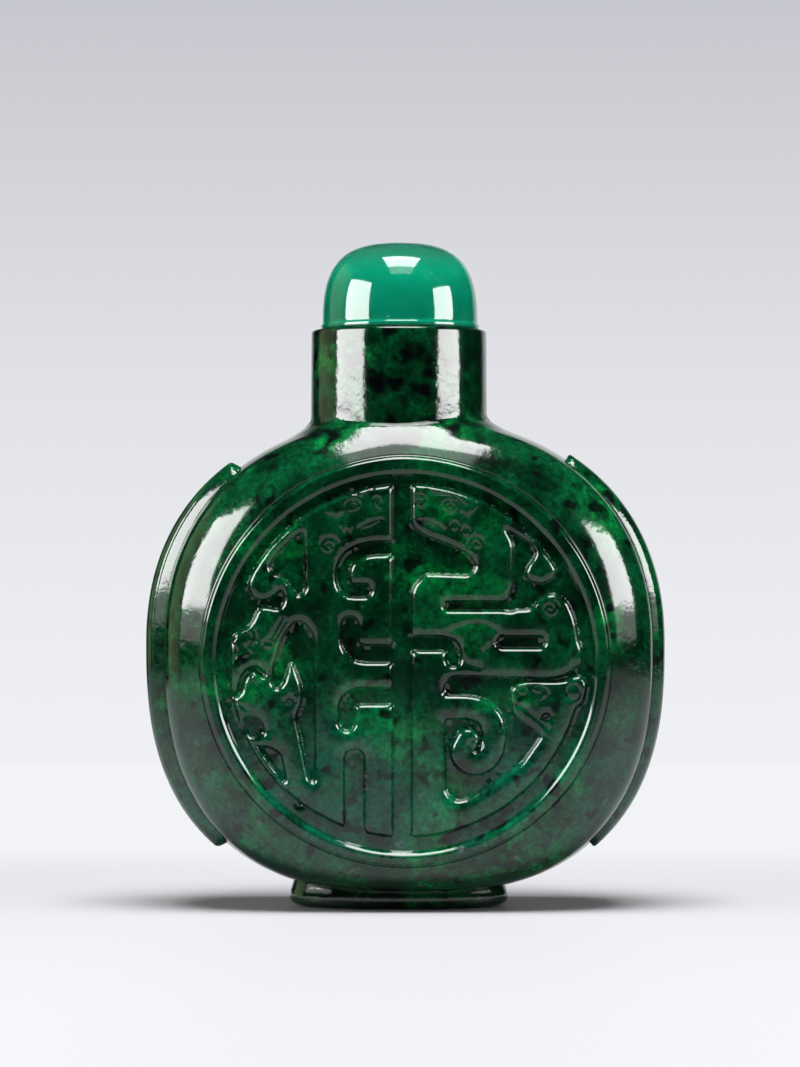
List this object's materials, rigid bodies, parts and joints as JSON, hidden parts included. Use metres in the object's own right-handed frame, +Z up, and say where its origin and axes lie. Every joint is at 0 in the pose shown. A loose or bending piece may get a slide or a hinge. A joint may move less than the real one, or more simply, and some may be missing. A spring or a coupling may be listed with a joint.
{
  "type": "snuff bottle",
  "caption": "Small flattened round bottle of polished green stone with a carved medallion on each face, side straps, an oval foot and a domed stopper.",
  "frame": {"origin": "middle of the bounding box's floor: the foot stands on z = 0", "axes": "+Z up along the neck, +X to the right seen from the front, the front medallion faces -Y"},
  "size_m": [0.0476, 0.021, 0.0611],
  "materials": {
    "green_stone": "polished, mottled emerald and black green",
    "bright_green_stone": "high polish, slightly translucent"
  },
  "bodies": {
    "root": {"bottle": "green_stone", "stopper": "bright_green_stone"}
  },
  "joints": []
}
